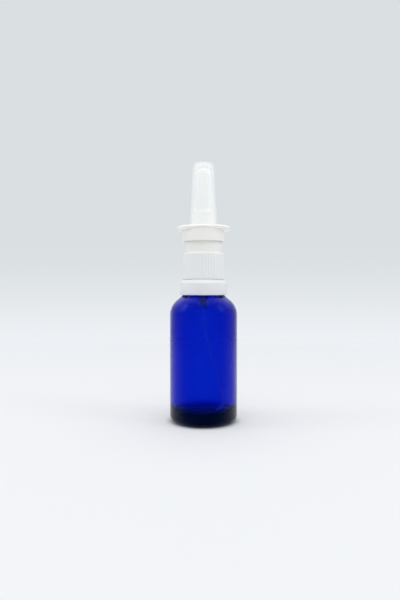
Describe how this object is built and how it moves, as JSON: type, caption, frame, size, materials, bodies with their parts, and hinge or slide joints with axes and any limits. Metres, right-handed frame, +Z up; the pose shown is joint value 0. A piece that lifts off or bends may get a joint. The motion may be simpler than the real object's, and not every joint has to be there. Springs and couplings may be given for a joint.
{
  "type": "nasal spray bottle",
  "caption": "Cobalt glass bottle with a screw-on finger-flange spray pump, tapered nasal nozzle and translucent pull-off overcap.",
  "frame": {"origin": "centre of the bottle's base, in the plane of the ring that it stands on", "axes": "+Z up along the bottle's axis; X along the two wings of the finger flange; Y across them"},
  "size_m": [0.0334, 0.0334, 0.1277],
  "materials": {
    "cobalt_glass": "clear deep cobalt-blue container glass, smooth and glossy",
    "white_pp": "white moulded polypropylene, satin gloss",
    "natural_pp": "natural polypropylene, slightly milky",
    "white_pe": "white polyethylene, satin",
    "clear_pp": "clarified polypropylene, translucent and faintly bluish",
    "dip_tube_pe": "translucent extruded polyethylene",
    "spring_steel": "stainless steel wire and ball",
    "seal_rubber": "grey sealing rubber"
  },
  "bodies": {
    "bottle": {"bottle": "cobalt_glass"},
    "tamper_ring": {"tamper_ring": "white_pp"},
    "pump": {"pump_housing": "natural_pp", "turret": "natural_pp", "neck_gasket": "seal_rubber", "stem_seal": "seal_rubber", "dip_tube": "dip_tube_pe", "return_spring": "spring_steel"},
    "closure": {"screw_closure": "white_pp"},
    "inlet_ball": {"inlet_ball": "spring_steel"},
    "stem": {"stem": "white_pe", "valve_core": "natural_pp", "precompression_spring": "spring_steel"},
    "piston": {"piston": "white_pe"},
    "nozzle": {"nozzle": "white_pp", "nozzle_core": "natural_pp", "swirl_insert": "natural_pp"},
    "overcap": {"overcap": "clear_pp"}
  },
  "joints": [
    {"name": "pump_rise", "type": "slide", "parent": "bottle", "child": "pump", "axis": [0, 0, 1], "range_m": [0, 0.0046]},
    {"name": "closure_turn", "type": "hinge", "parent": "pump", "child": "closure", "pos_m": [0, 0, 0.075], "axis": [0, 0, 1], "range_deg": [0, 540]},
    {"name": "ring_spin", "type": "hinge", "parent": "bottle", "child": "tamper_ring", "pos_m": [0, 0, 0.0663], "axis": [0, 0, 1], "continuous": true},
    {"name": "press", "type": "slide", "parent": "pump", "child": "stem", "axis": [0, 0, -1], "range_m": [0, 0.0045], "stiffness_N_per_m": 1200, "springref_m": -0.002, "deforming": ["return_spring"]},
    {"name": "piston_lift", "type": "slide", "parent": "stem", "child": "piston", "axis": [0, 0, 1], "range_m": [0, 0.0006], "stiffness_N_per_m": 150, "springref_m": -0.0008, "deforming": ["precompression_spring"]},
    {"name": "ball_lift", "type": "slide", "parent": "pump", "child": "inlet_ball", "axis": [0, 0, 1], "range_m": [0, 0.0008]},
    {"name": "nozzle_swivel", "type": "hinge", "parent": "stem", "child": "nozzle", "pos_m": [0, 0, 0.095], "axis": [0, 0, 1], "continuous": true},
    {"name": "overcap_pull", "type": "slide", "parent": "nozzle", "child": "overcap", "axis": [0, 0, 1], "range_m": [0, 0.033]}
  ],
  "couplings": [
    {"joint": "pump_rise", "follows": "closure_turn", "m_per_rad": 0.00047746}
  ]
}
